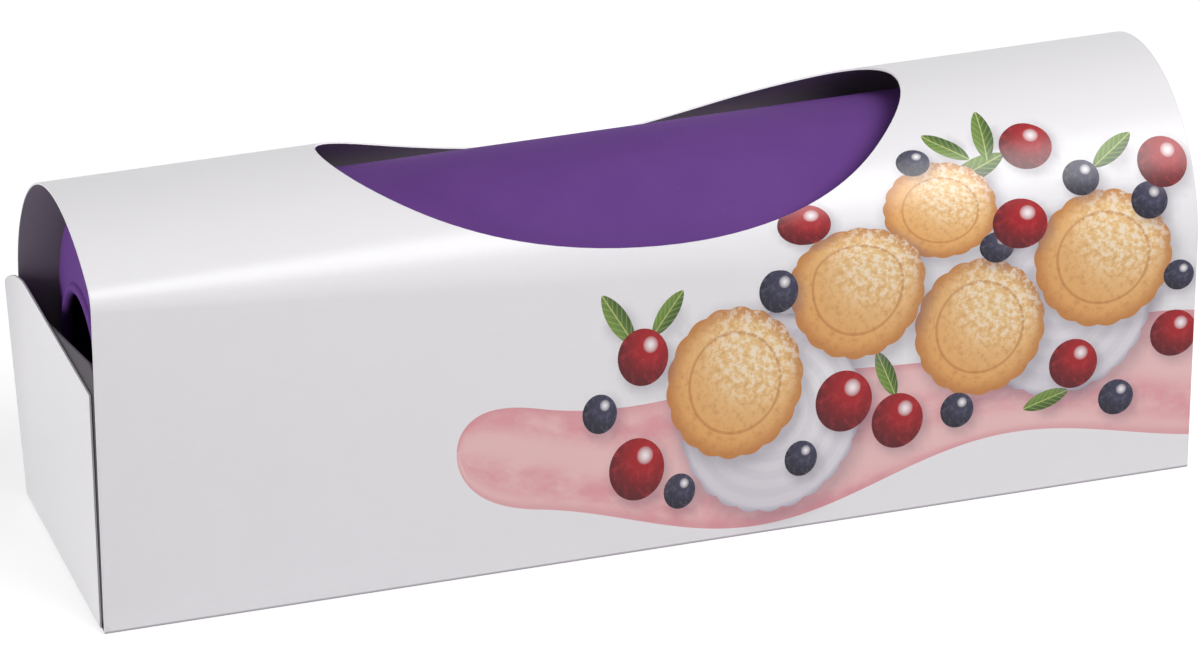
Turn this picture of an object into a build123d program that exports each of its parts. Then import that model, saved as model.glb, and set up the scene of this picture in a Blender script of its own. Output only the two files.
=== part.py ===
from build123d import *
import os
from math import atan2, ceil, cos, degrees, radians, sin, tan

# Jelly roll pan of moulded silicone, curled into an arch inside its paperboard display carton.
# Millimetres. The origin is the middle of the carton's underside, +X runs along the carton to
# the right, +Y runs to the rear and +Z is up. A section is drawn in the YZ plane.

# Carton board and main sizes
board = 0.6
carton_length = 356.0
carton_depth = 98.8
overrun = 5.0

# Right end of the wraparound panel, where the top is a true half round
right_spring = 78.0

# Left end of the wraparound panel, where the board has been pushed towards the front. Each side
# is a wall-side arc and a crown arc; a lift is how far the crown stands above a quarter round of
# the wall-side radius, and the rear wall-side arc's centre lies the rear reach from the crown.
left_crown_height = 126.5
left_crown_shift = 6.4
left_front_radius = 9.3
left_front_lift = 10.6
left_rear_reach = 12.1
left_rear_lift = 7.3
longest_arc = 6.0

# Window over the top, as long as this and as wide as this where its rays from the arch's axis
# reach the height of the crown; the shares are along the length and across half the width
window_length = 188.0
window_reach = 96.8
window_front_shares = ((0.088, 0.379), (0.266, 0.739), (0.57, 1.0), (0.804, 0.668), (0.936, 0.307))
window_rear_shares = (
    (0.09, 0.35),
    (0.25, 0.69),
    (0.48, 0.97),
    (0.66, 0.75),
    (0.80, 0.48),
    (0.936, 0.25),
)
window_low_share = 0.3
window_high_share = 1.3

# Seam flap that closes the blank, inside the rear wall
seam_flap_height = 14.0
seam_flap_taper = 4.0

# End panels, which fold up from the bottom and curl outwards at the rear; the shares are across
# the panel from the front and of the whole curl
end_panel_height = 78.5
end_front_gap = 3.0
end_front_slant = 1.0
end_rear_gap = 0.4
end_lean = 0.2
end_curl = 3.8
end_curl_shares = ((0.885, 0.0), (0.937, 0.1), (0.974, 0.46), (1.0, 1.0))
end_corner_radius = 4.0
crease_gap = 0.1

# Dust flaps, which fold in from the wall edges behind the end panels
flap_gap = 0.1
flap_foot = 2.0
flap_foot_angle = 18.0
flap_corner_radius = 5.0
front_flap_length = 60.0
front_flap_height = 89.0
front_flap_drop = 12.0
rear_flap_height = 75.0
rear_flap_drop = 6.0
flap_meeting_gap = 1.4

# Silicone pan: base outwards, cavity inwards, long walls down along the carton's walls
pan_thickness = 2.0
pan_side_gap = 0.7
pan_floor_gap = 0.3
pan_end_gap = 7.1
pan_left_crown_gap = 10.1
pan_right_crown_gap = 8.4
pan_depth = 25.4
pan_draft = 10.0
pan_edge_radius = 5.0
corner_steps = 4
leg_bend_height = 40.0
leg_bow = 4.2
bead_diameter = 3.6
bead_sides = 8

half_length = carton_length / 2
half_depth = carton_depth / 2
inner_half_depth = half_depth - board
flap_hinge = inner_half_depth - flap_gap


def haunch(span, radius, lift):
    """Spring height, wall-side radius, crown radius and meeting angle of one side at the left.

    The wall-side arc starts upright at the wall, span from the crown, and the crown arc ends
    level at the crown.
    """
    rise = radius + lift
    crown_radius = ((span - radius) ** 2 + rise**2 - radius**2) / (2 * lift)
    meeting_angle = degrees(atan2(crown_radius - rise, span - radius))
    return left_crown_height - rise, radius, crown_radius, meeting_angle


def stepped_arc(center, radius, start, sweep):
    """Edges of an arc in equal short steps, so that unlike arcs of two sections still match."""
    steps = ceil(abs(sweep) / longest_arc)
    return [
        CenterArc(center, radius, start + sweep * step / steps, sweep / steps) for step in range(steps)
    ]


def wrap_section(x, crown, crown_y, front, rear, inset):
    """Area under the wraparound panel at x, drawn inset from its outer face.

    front and rear are each a spring height, a wall-side radius, a crown radius and the angle
    at which the two arcs meet.
    """
    front_spring, front_radius, front_crown_radius, front_angle = front
    rear_spring, rear_radius, rear_crown_radius, rear_angle = rear
    edge = half_depth - inset
    foot = -overrun if inset else 0
    # Made outside a builder, which would join the short arcs again
    outline = [
        Line((-edge, foot), (-edge, front_spring)),
        *stepped_arc(
            (front_radius - half_depth, front_spring), front_radius - inset, 180, -front_angle
        ),
        *stepped_arc(
            (crown_y, crown - front_crown_radius),
            front_crown_radius - inset,
            180 - front_angle,
            front_angle - 90,
        ),
        *stepped_arc(
            (crown_y, crown - rear_crown_radius), rear_crown_radius - inset, 90, rear_angle - 90
        ),
        *stepped_arc(
            (half_depth - rear_radius, rear_spring), rear_radius - inset, rear_angle, -rear_angle
        ),
        Line((edge, rear_spring), (edge, foot)),
        Line((edge, foot), (-edge, foot)),
    ]
    return Plane.YZ.offset(x) * Face(Wire(outline))


# Arcs of the left end, and the same meeting angles on the half round of the right end
left_front = haunch(half_depth - left_crown_shift, left_front_radius, left_front_lift)
left_rear_span = half_depth + left_crown_shift
left_rear = haunch(left_rear_span, left_rear_span - left_rear_reach, left_rear_lift)
right_front = (right_spring, half_depth, half_depth, left_front[-1])
right_rear = (right_spring, half_depth, half_depth, left_rear[-1])
right_crown_height = right_spring + half_depth


def wrap_sections(inset, reach):
    """The two end sections of the wraparound panel, at reach either side of the middle."""
    left = wrap_section(-reach, left_crown_height, -left_crown_shift, left_front, left_rear, inset)
    right = wrap_section(reach, right_crown_height, 0, right_front, right_rear, inset)
    return [left, right]


def window_section(height_share):
    """Outline of the window's cutter at a share of the arch's radius above the arch's axis."""
    reach = window_reach * height_share
    start = (-window_length / 2, 0)
    end = (window_length / 2, 0)
    front = [((x - 0.5) * window_length, -y * reach) for x, y in window_front_shares]
    rear = [((x - 0.5) * window_length, y * reach) for x, y in window_rear_shares]
    with BuildSketch(Plane.XY.offset(right_spring + half_depth * height_share)) as section:
        with BuildLine():
            Spline(start, *front, end, tangents=[(0, -1), (0, 1)])
            Spline(start, *rear, end, tangents=[(0, 1), (0, -1)])
        make_face()
    return section.sketch


# Wraparound panel: front wall, arched top and rear wall in one uncreased sheet
with BuildPart() as wrap_panel:
    loft(wrap_sections(0, half_length), ruled=True, clean=False)
    loft(wrap_sections(board, half_length), ruled=True, clean=False, mode=Mode.SUBTRACT)
    loft(
        [window_section(window_low_share), window_section(window_high_share)],
        ruled=True,
        clean=False,
        mode=Mode.SUBTRACT,
    )
wrap_panel.part.label = "wrap_panel"

# Bottom panel, between the two walls
with BuildPart() as bottom_panel:
    with BuildSketch():
        Rectangle(carton_length, 2 * inner_half_depth)
    extrude(amount=board)
bottom_panel.part.label = "bottom_panel"

# Seam flap: the strip that is glued up the inside of the rear wall
with BuildPart() as seam_flap:
    with BuildSketch(Plane.XZ.offset(-inner_half_depth)):
        with BuildLine():
            Polyline(
                (-half_length, board),
                (half_length, board),
                (half_length - seam_flap_taper, board + seam_flap_height),
                (seam_flap_taper - half_length, board + seam_flap_height),
                close=True,
            )
        make_face()
    extrude(amount=board)
seam_flap.part.label = "seam_flap"


def end_panel_edge(side, y, lean):
    """Thin upright section of an end panel at y, leaning out by lean at its top."""
    foot_x = side * half_length
    foot_z = board + crease_gap
    with BuildSketch(Plane.XZ.offset(-y)) as section:
        with BuildLine():
            Polyline(
                (foot_x, foot_z),
                (foot_x + side * board, foot_z),
                (foot_x + side * (board + lean), end_panel_height),
                (foot_x + side * lean, end_panel_height),
                close=True,
            )
        make_face()
    return section.sketch


def make_end_panel(side, name):
    """End panel on one side, upright but for its rear edge, which curls outwards."""
    front_y = -half_depth + end_front_gap
    rear_y = half_depth - end_rear_gap
    edges = [end_panel_edge(side, front_y, end_lean)]
    for share, curl_share in end_curl_shares:
        y = front_y + share * (rear_y - front_y)
        edges.append(end_panel_edge(side, y, end_lean + curl_share * end_curl))
    with BuildPart() as end_panel:
        loft(edges, ruled=True)
        with BuildSketch(Plane.YZ):
            with BuildLine():
                Polyline(
                    (front_y, 0),
                    (rear_y + overrun, 0),
                    (rear_y + overrun, end_panel_height / 2),
                    (rear_y, end_panel_height / 2),
                    (rear_y, end_panel_height - end_corner_radius),
                )
                RadiusArc(
                    (rear_y, end_panel_height - end_corner_radius),
                    (rear_y - end_corner_radius, end_panel_height),
                    -end_corner_radius,
                )
                Polyline(
                    (rear_y - end_corner_radius, end_panel_height),
                    (front_y + end_front_slant, end_panel_height),
                    (front_y, 0),
                )
            make_face()
        extrude(amount=side * carton_length, mode=Mode.INTERSECT)
    end_panel.part.label = name
    return end_panel.part


def make_dust_flap(side, face, length, height, drop, name):
    """Dust flap at one end, folded in from the front wall (face -1) or the rear wall (face 1)."""
    foot_rise = length * tan(radians(flap_foot_angle))
    wall_limits = wrap_sections(board + flap_gap, half_length)[0 if side < 0 else 1]
    with BuildPart() as flap:
        with BuildSketch(Plane.YZ.offset(side * (half_length - flap_gap))):
            with BuildLine():
                Polyline(
                    (face * flap_hinge, board + flap_foot),
                    (face * flap_hinge, height),
                    (face * (flap_hinge - length), height - drop),
                    (face * (flap_hinge - length), board + flap_foot + foot_rise),
                    close=True,
                )
            outline = make_face()
            free_corners = outline.vertices().group_by(Axis.Y)[0 if face > 0 else -1]
            fillet(free_corners, flap_corner_radius)
        extrude(amount=-side * board)
        extrude(wall_limits, amount=overrun, dir=(-side, 0, 0), mode=Mode.INTERSECT)
    flap.part.label = name
    return flap.part


left_end_panel = make_end_panel(-1, "left_end_panel")
right_end_panel = make_end_panel(1, "right_end_panel")
front_flap_sizes = (front_flap_length, front_flap_height, front_flap_drop)
rear_flap_length = 2 * flap_hinge - front_flap_length - flap_meeting_gap
rear_flap_sizes = (rear_flap_length, rear_flap_height, rear_flap_drop)
left_front_dust_flap = make_dust_flap(-1, -1, *front_flap_sizes, "left_front_dust_flap")
left_rear_dust_flap = make_dust_flap(-1, 1, *rear_flap_sizes, "left_rear_dust_flap")
right_front_dust_flap = make_dust_flap(1, -1, *front_flap_sizes, "right_front_dust_flap")
right_rear_dust_flap = make_dust_flap(1, 1, *rear_flap_sizes, "right_rear_dust_flap")

# Sizes that the pan takes from the carton
pan_half_width = inner_half_depth - pan_side_gap
pan_foot = board + pan_floor_gap
pan_left_spring = left_crown_height - board - pan_left_crown_gap - pan_half_width
pan_right_spring = right_crown_height - board - pan_right_crown_gap - pan_half_width
bead_radius = bead_diameter / 2
wall_lean = pan_depth * tan(radians(pan_draft))
rim_x = half_length - pan_end_gap - bead_radius + pan_thickness / 2
pan_half_length = rim_x - wall_lean
foot_bead_y = pan_half_width - pan_thickness / 2 - leg_bow
pan_ends = ((-1, pan_left_spring), (1, pan_right_spring))


def arch_section(x, spring, edge, foot_edge):
    """Half round on two upright legs, whose feet curve in or out to foot_edge."""
    with BuildSketch(Plane.YZ.offset(x)) as section:
        with BuildLine():
            for face in (-1, 1):
                knee = (face * edge, leg_bend_height)
                foot = (face * foot_edge, pan_foot)
                Line((face * edge, spring), knee)
                TangentArc(knee, foot, tangent=(0, -1))
                Line(foot, (face * foot_edge, -overrun))
            CenterArc((0, spring), edge, 0, 180)
            Line((-foot_edge, -overrun), (foot_edge, -overrun))
        make_face()
    return section.sketch


def pan_section(x, spring, inset):
    """Area under the curled pan's base at x, drawn inset from the outer face."""
    edge = pan_half_width - inset
    return arch_section(x, spring, edge, edge - leg_bow)


def mouth_section(x, spring, inset):
    """Opening inside an end wall, drawn inset from its rim's lip into the wall.

    Its legs flare out, so that the rims of the end wall and the long wall meet at the foot.
    """
    edge = pan_half_width - pan_depth - pan_thickness / 2 + inset
    return arch_section(x, spring, edge, foot_bead_y - pan_thickness / 2 + inset)


def mouth_path(x, spring):
    """Line along the rim of one end wall, from foot to foot."""
    rim = mouth_section(x, spring, pan_thickness / 2).edges()
    return Wire([edge for edge in rim if edge.center().Z > pan_foot])


def pan_form(inset):
    """Solid form of the curled pan, drawn inset from its outer face, with rounded end corners.

    The form of the hollow runs on straight out of both mouths.
    """
    turn = 90 - pan_draft
    corner_x = pan_half_length - pan_edge_radius * tan(radians(turn / 2))
    radius = pan_edge_radius - inset
    lip_x = rim_x - inset / cos(radians(pan_draft))
    ends = []
    for side, spring in pan_ends:
        sections = []
        for step in range(corner_steps + 1):
            angle = radians(turn * step / corner_steps)
            depth = pan_edge_radius - radius * cos(angle)
            sections.append(pan_section(side * (corner_x + radius * sin(angle)), spring, depth))
        sections.append(mouth_section(side * lip_x, spring, inset))
        if inset:
            sections.append(mouth_section(side * (lip_x + overrun), spring, inset))
        ends.append(sections)
    with BuildPart() as form:
        loft(ends[0][::-1] + ends[1], ruled=True)
    return form.part


# Silicone pan: arched base and splayed long walls, end walls that stand inwards, and a bead
# all round the rim
with BuildPart() as silicone_pan:
    add(pan_form(0))
    add(pan_form(pan_thickness), mode=Mode.SUBTRACT)
    for side, spring in pan_ends:
        rim = mouth_path(side * (rim_x - pan_thickness / 2), spring)
        with BuildSketch(Plane(rim @ 0, z_dir=rim % 0)):
            RegularPolygon(bead_radius, bead_sides)
        sweep(path=rim)
    split(bisect_by=Plane.XY.offset(pan_foot), keep=Keep.TOP)
    with BuildSketch(Plane.YZ.offset(-rim_x)):
        with Locations((-foot_bead_y, pan_foot + bead_radius), (foot_bead_y, pan_foot + bead_radius)):
            RegularPolygon(bead_radius, bead_sides)
    extrude(amount=2 * rim_x)
silicone_pan.part.label = "silicone_pan"

# Write one STEP file for each piece
pieces = [
    wrap_panel.part,
    bottom_panel.part,
    seam_flap.part,
    left_end_panel,
    right_end_panel,
    left_front_dust_flap,
    left_rear_dust_flap,
    right_front_dust_flap,
    right_rear_dust_flap,
    silicone_pan.part,
]
os.makedirs("parts", exist_ok=True)
for piece in pieces:
    export_step(piece, f"parts/{piece.label}.step")
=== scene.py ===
"""Looks of a silicone jelly roll pan, curled into an arch inside its arch-topped display carton.

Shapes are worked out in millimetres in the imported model's frame: x runs along the carton to the
right, y to the rear and z up from the surface that it stands on. Meshes are written in metres.
"""

import logging
import math
from dataclasses import dataclass, field
from enum import Enum, IntEnum
from typing import Callable, Sequence, Union

import bpy
import numpy as np
from mathutils import Matrix, Quaternion, Vector
from mathutils.geometry import delaunay_2d_cdt

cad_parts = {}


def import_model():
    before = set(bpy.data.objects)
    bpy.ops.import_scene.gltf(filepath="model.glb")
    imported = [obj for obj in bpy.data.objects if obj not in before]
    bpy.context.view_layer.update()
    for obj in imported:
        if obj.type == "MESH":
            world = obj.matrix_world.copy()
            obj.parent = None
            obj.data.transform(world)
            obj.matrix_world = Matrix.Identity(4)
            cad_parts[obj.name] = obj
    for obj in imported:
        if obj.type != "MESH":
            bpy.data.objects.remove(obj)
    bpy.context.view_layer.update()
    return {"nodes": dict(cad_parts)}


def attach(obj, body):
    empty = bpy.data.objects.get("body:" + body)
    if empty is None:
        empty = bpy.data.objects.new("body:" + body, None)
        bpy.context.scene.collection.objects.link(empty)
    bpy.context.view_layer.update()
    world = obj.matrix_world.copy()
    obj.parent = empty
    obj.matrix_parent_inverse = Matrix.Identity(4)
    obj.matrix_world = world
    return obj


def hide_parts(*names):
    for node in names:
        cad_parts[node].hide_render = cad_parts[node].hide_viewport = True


log = logging.getLogger("carton")

MM = 0.001
MARGIN_UNIT = 100.0
QUARTER = math.pi / 2
NOISE_MEAN = 0.5

Color = tuple[float, float, float]
Point2 = tuple[float, float]
Point3 = tuple[float, float, float]
# x, girth, radius and turn of a printed motif.
Turned = tuple[float, float, float, float]
# Corner indices of one face.
Face = tuple[int, ...]
Output = bpy.types.NodeSocket
Socket = Union[Output, float, Color, Point3]
Inputs = dict[Union[str, int], Socket]

WHITE: Color = (1.0, 1.0, 1.0)


class Slot(Enum):
    """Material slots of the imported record."""

    BOARD = "board"
    SILICONE = "silicone"


class Body(Enum):
    """Moving bodies that the pieces built here ride on."""

    CARTON = "carton"
    PAN = "pan"


class Motif(Enum):
    """Printed motifs on the carton's wraparound panel, in the order of their inks."""

    RIBBON = "ribbon"
    DOILY = "doily"
    BISCUIT = "biscuit"
    CHERRY = "cherry"
    PEARL = "pearl"
    LEAF = "leaf"


class Side(IntEnum):
    """Places of a board piece's materials. The motifs' inks follow from the last one."""

    COATED = 0
    INSIDE = 1
    CUT = 2
    FIRST_INK = 3


class Layer(Enum):
    """UV layers of a board piece."""

    SHADE = "shade"
    MARGIN = "margin"
    ARTWORK = "artwork"


# ---------------------------------------------------------------------------------------------
# Shader building
# ---------------------------------------------------------------------------------------------


@dataclass(frozen=True)
class Grain:
    """Fractal noise: features per unit of its coordinates, octaves and the finer ones' weight."""

    scale: float
    octaves: float
    weight: float


class ShaderSheet:
    """Adds nodes and links to one material's or one group's node tree."""

    columns = 8
    step = (180, 200)
    mix_share, mix_under, mix_over, mix_color = 0, 6, 7, 2

    def __init__(self, tree: bpy.types.NodeTree) -> None:
        """Keep the tree that nodes are added to."""
        self.tree = tree

    def node(self, kind: str, inputs: Inputs | None = None, **settings: object) -> bpy.types.Node:
        """Add one node.

        Args:
            kind: Blender's name of the node type.
            inputs: What its inputs get, by their name or place.
            settings: Attributes of the node, such as operation.

        Returns:
            The new node.
        """
        node = self.tree.nodes.new(kind)
        for name, value in settings.items():
            setattr(node, name, value)
        row, column = divmod(len(self.tree.nodes), self.columns)
        node.location = (column * self.step[0], -row * self.step[1])
        self.feed(node, inputs or {})
        return node

    def feed(self, node: bpy.types.Node, inputs: Inputs) -> None:
        """Link a node's inputs, or set their own values.

        Args:
            node: Node to feed.
            inputs: Output sockets, numbers, vectors or colours, by the input's name or place.
        """
        for key, value in inputs.items():
            socket = node.inputs[key]
            if isinstance(value, Output):
                self.tree.links.new(value, socket)
            elif isinstance(value, tuple) and len(socket.default_value) > len(value):
                socket.default_value = (*value, 1.0)
            else:
                socket.default_value = value

    def math(self, operation: str, *values: Socket, clamp: bool = False) -> Output:
        """Socket of a sum, product or comparison, by the Math node's name of the operation."""
        inputs = dict(enumerate(values))
        return self.node("ShaderNodeMath", inputs, operation=operation, use_clamp=clamp).outputs[0]

    def measure(self, operation: str, *vectors: Socket) -> Output:
        """Socket of a number worked out from vectors, by the Vector Math node's operation."""
        inputs = dict(enumerate(vectors))
        return self.node("ShaderNodeVectorMath", inputs, operation=operation).outputs["Value"]

    def parts(self, vector: Socket) -> Sequence[Output]:
        """Sockets of a vector's x, y and z."""
        return self.node("ShaderNodeSeparateXYZ", {0: vector}).outputs

    def position(self) -> Output:
        """Socket of the place on the object, in metres."""
        return self.node("ShaderNodeTexCoord").outputs["Object"]

    def layer(self, layer: Layer) -> Output:
        """Socket of a UV layer's coordinates."""
        return self.node("ShaderNodeUVMap", uv_map=layer.value).outputs["UV"]

    def span(self, value: Socket, low: float, high: float) -> Output:
        """Turn a value's range into 0 to 1, with an eased start and stop.

        Args:
            value: Socket to map.
            low: Value that becomes 0. It may be the higher one.
            high: Value that becomes 1.

        Returns:
            The mapped value's socket.
        """
        inputs = {
            "Value": value,
            "From Min": min(low, high),
            "From Max": max(low, high),
            "To Min": float(low > high),
            "To Max": float(low <= high),
        }
        node = self.node("ShaderNodeMapRange", inputs, interpolation_type="SMOOTHSTEP")
        return node.outputs["Result"]

    def coat(self, under: Socket, over: Socket, mask: Socket, strength: float = 1.0) -> Output:
        """Lay one colour over another.

        Args:
            under: Colour below.
            over: Colour laid on it.
            mask: Where it lies, from 0 to 1.
            strength: Share of it where the mask is 1.

        Returns:
            The mixed colour's socket.
        """
        share = mask if strength == 1.0 else self.math("MULTIPLY", mask, strength)
        inputs = {self.mix_share: share, self.mix_under: under, self.mix_over: over}
        return self.node("ShaderNodeMix", inputs, data_type="RGBA").outputs[self.mix_color]

    def noise(self, vector: Socket, grain: Grain) -> Output:
        """Add fractal noise.

        Args:
            vector: Coordinates, in metres or in a motif's own units.
            grain: Its fineness.

        Returns:
            The noise value's socket.
        """
        inputs = {
            "Vector": vector,
            "Scale": grain.scale,
            "Detail": grain.octaves,
            "Roughness": grain.weight,
        }
        return self.node("ShaderNodeTexNoise", inputs).outputs["Fac"]

    def bump(self, height: Socket, strength: float, distance: float) -> Output:
        """Socket of the normal of a height from 0 to 1 that stands for a distance in metres."""
        inputs = {"Strength": strength, "Distance": distance, "Height": height}
        return self.node("ShaderNodeBump", inputs).outputs["Normal"]


class GroupSheet(ShaderSheet):
    """Node sheet of a new shader group."""

    number = "NodeSocketFloat"
    vector = "NodeSocketVector"
    color = "NodeSocketColor"

    def __init__(self, name: str, **inputs: str) -> None:
        """Start the group.

        Args:
            name: Name of the group.
            inputs: Socket type of each input.
        """
        super().__init__(bpy.data.node_groups.new(name, "ShaderNodeTree"))
        for label, kind in inputs.items():
            self.tree.interface.new_socket(name=label, in_out="INPUT", socket_type=kind)
        self.given = self.node("NodeGroupInput").outputs

    def give(self, **values: Output) -> bpy.types.NodeTree:
        """Finish the group.

        Args:
            values: Each output's value: a colour under the name Color, or else a number.

        Returns:
            The group.
        """
        for label in values:
            kind = self.color if label == "Color" else self.number
            self.tree.interface.new_socket(name=label, in_out="OUTPUT", socket_type=kind)
        self.node("NodeGroupOutput", values)
        return self.tree


@dataclass
class SharedEffects:
    """Shader groups that the finishes share, each built once."""

    clouds: Grain = Grain(55.0, 4.0, 0.6)
    fibres: Grain = Grain(1.0, 4.0, 0.7)
    fibre_scale: Point3 = (260.0, 900.0, 900.0)
    teeth: Grain = Grain(2600.0, 2.0, 0.6)
    fibre_height: float = 0.6
    scuffs: Grain = Grain(420.0, 5.0, 0.65)
    handling: Grain = Grain(38.0, 2.0, 0.5)
    scuff_strength: float = 0.9
    scuff_range: Point2 = (0.85, 1.25)
    scuff_fade: float = 0.2
    wear_width: float = 0.0010
    least_wear: float = 0.3
    wear_amount: float = 0.35
    least_facing: float = 0.5
    lit_side: Point3 = (0.30, 0.42, 0.0)
    shade_range: Point2 = (0.1, 1.45)
    glint_radius: float = 0.3
    glint_edge: float = 0.7

    def __post_init__(self) -> None:
        """Build every group."""
        self.fibre = self._fibre()
        self.wear = self._wear()
        self.faces = self._faces()
        self.roundel = self._roundel()

    def _fibre(self) -> bpy.types.NodeTree:
        """Paperboard's cloudy formation, short fibres and fine tooth.

        Returns:
            A group that gives a colour, a height and a gloss change.
        """
        sheet = GroupSheet(
            "board_fibre",
            Color=GroupSheet.color,
            Position=GroupSheet.vector,
            Cloud=GroupSheet.number,
            Fibre=GroupSheet.number,
        )
        place = sheet.given["Position"]
        cloud = sheet.noise(place, self.clouds)
        drawn = sheet.node("ShaderNodeMapping", {"Vector": place, "Scale": self.fibre_scale})
        fibre = sheet.noise(drawn.outputs["Vector"], self.fibres)
        tooth = sheet.noise(place, self.teeth)
        level: Socket = 1.0
        for pattern, strength in ((cloud, "Cloud"), (fibre, "Fibre")):
            change = sheet.math("SUBTRACT", pattern, NOISE_MEAN)
            level = sheet.math("MULTIPLY_ADD", change, sheet.given[strength], level)
        inputs = {0: sheet.given["Color"], "Scale": level}
        shaded = sheet.node("ShaderNodeVectorMath", inputs, operation="SCALE")
        low = sheet.math("MULTIPLY", tooth, 1.0 - self.fibre_height)
        height = sheet.math("MULTIPLY_ADD", fibre, self.fibre_height, low)
        gloss = sheet.math("MULTIPLY", sheet.math("ADD", cloud, fibre), 0.5)
        return sheet.give(Color=shaded.outputs[0], Height=height, Gloss=gloss)

    def _wear(self) -> bpy.types.NodeTree:
        """Handling wear that breaks up along an edge.

        Returns:
            A group that gives a mask from 0 to 1.
        """
        sheet = GroupSheet("edge_wear", Distance=GroupSheet.number, Position=GroupSheet.vector)
        rough = sheet.noise(sheet.given["Position"], self.scuffs)
        broad = sheet.noise(sheet.given["Position"], self.handling)
        width = sheet.math("MULTIPLY", sheet.math("ADD", broad, self.least_wear), self.wear_width)
        away = sheet.math("DIVIDE", sheet.given["Distance"], width)
        near = sheet.math("SUBTRACT", 1.0, away, clamp=True)
        broken = sheet.math("MULTIPLY_ADD", rough, self.scuff_strength, near)
        broken = sheet.span(broken, *self.scuff_range)
        inside = sheet.math("MULTIPLY", broken, sheet.span(near, 0.0, self.scuff_fade))
        return sheet.give(Mask=sheet.math("MULTIPLY", inside, self.wear_amount, clamp=True))

    def _faces(self) -> bpy.types.NodeTree:
        """Tell a panel's coated outside, plain inside and cut edges apart by its own normal.

        Returns:
            A group that gives a mask of the outside and a mask of the cut edges.
        """
        sheet = GroupSheet("board_faces", Outward=GroupSheet.vector, Normal=GroupSheet.vector)
        facing = sheet.measure("DOT_PRODUCT", sheet.given["Outward"], sheet.given["Normal"])
        return sheet.give(
            Outside=sheet.math("GREATER_THAN", facing, self.least_facing),
            Edge=sheet.math("LESS_THAN", sheet.math("ABSOLUTE", facing), self.least_facing),
        )

    def _roundel(self) -> bpy.types.NodeTree:
        """Radius, round shade and glint inside a printed round motif.

        Returns:
            A group that gives these three values.
        """
        sheet = GroupSheet("printed_roundel", Place=GroupSheet.vector)
        place = sheet.given["Place"]
        away = sheet.measure("DISTANCE", place, self.lit_side)
        dim = sheet.math("DIVIDE", away, self.glint_radius)
        glint = sheet.math("SUBTRACT", 1.0, dim, clamp=True)
        return sheet.give(
            Radius=sheet.measure("LENGTH", place),
            Shade=sheet.span(away, *self.shade_range),
            Glint=sheet.math("POWER", glint, self.glint_edge),
        )


class MaterialSheet(ShaderSheet):
    """Node sheet of a new material with one Principled shader."""

    bump_depth = 0.00003
    gloss_change = 0.08

    def __init__(self, name: str, effects: SharedEffects | None = None) -> None:
        """Start the material.

        Args:
            name: Name of the material.
            effects: Shader groups that it may use.
        """
        self.material = bpy.data.materials.new(name)
        self.material.use_nodes = True
        self.material.node_tree.nodes.clear()
        super().__init__(self.material.node_tree)
        self.effects = effects
        self.shader = self.node("ShaderNodeBsdfPrincipled")
        self.node("ShaderNodeOutputMaterial", {"Surface": self.shader.outputs["BSDF"]})

    def use(self, group: bpy.types.NodeTree, **inputs: Socket) -> Sequence[Output]:
        """Outputs of a shared group that is given its inputs."""
        return self.node("ShaderNodeGroup", inputs, node_tree=group).outputs

    def dress(self, color: Socket, roughness: Socket, specular: float, normal: Socket) -> None:
        """Feed the shader.

        Args:
            color: Base colour.
            roughness: Roughness.
            specular: Specular level.
            normal: Surface normal.
        """
        inputs = {
            "Base Color": color,
            "Roughness": roughness,
            "Specular IOR Level": specular,
            "Normal": normal,
        }
        self.feed(self.shader, inputs)


# ---------------------------------------------------------------------------------------------
# Finishes
# ---------------------------------------------------------------------------------------------


@dataclass(frozen=True)
class Stock:
    """Grain of a board's face: strengths of its clouds, fibres and tooth, and its shine."""

    cloud: float = 0.03
    fibre: float = 0.03
    tooth: float = 0.25
    specular: float = 0.4

    def texture(
        self, sheet: MaterialSheet, color: Socket, roughness: Socket
    ) -> tuple[Output, Output, Output]:
        """Give a face its grain.

        Args:
            sheet: Node sheet of the material.
            color: Colour without grain.
            roughness: Mean roughness.

        Returns:
            Sockets of the colour, the roughness and the normal with the grain.
        """
        fibre = sheet.use(
            sheet.effects.fibre,
            Color=color,
            Position=sheet.position(),
            Cloud=self.cloud,
            Fibre=self.fibre,
        )
        change = sheet.math("SUBTRACT", fibre["Gloss"], NOISE_MEAN)
        rough = sheet.math("MULTIPLY_ADD", change, sheet.gloss_change, roughness)
        return fibre["Color"], rough, sheet.bump(fibre["Height"], self.tooth, sheet.bump_depth)


@dataclass(frozen=True)
class BoardFinish:
    """Flat panel or flap of coated board: outside, inside and raw cut edges."""

    name: str
    outward: Point3
    outside: Color
    inside: Color
    cut: Color = (0.86, 0.84, 0.86)
    roughness: float = 0.34
    inside_roughness: float = 0.72
    stock: Stock = Stock(0.05, 0.05, 0.35, 0.45)

    def make(self, effects: SharedEffects) -> bpy.types.Material:
        """Build the material.

        Args:
            effects: Shared shader groups.

        Returns:
            The material.
        """
        sheet = MaterialSheet(self.name, effects)
        normal = sheet.node("ShaderNodeTexCoord").outputs["Normal"]
        faces = sheet.use(effects.faces, Outward=self.outward, Normal=normal)
        color = sheet.coat(self.inside, self.outside, faces["Outside"])
        color = sheet.coat(color, self.cut, faces["Edge"])
        gain = self.roughness - self.inside_roughness
        rough = sheet.math("MULTIPLY_ADD", faces["Outside"], gain, self.inside_roughness)
        color, rough, bumped = self.stock.texture(sheet, color, rough)
        sheet.dress(color, rough, self.stock.specular, bumped)
        return sheet.material


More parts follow.
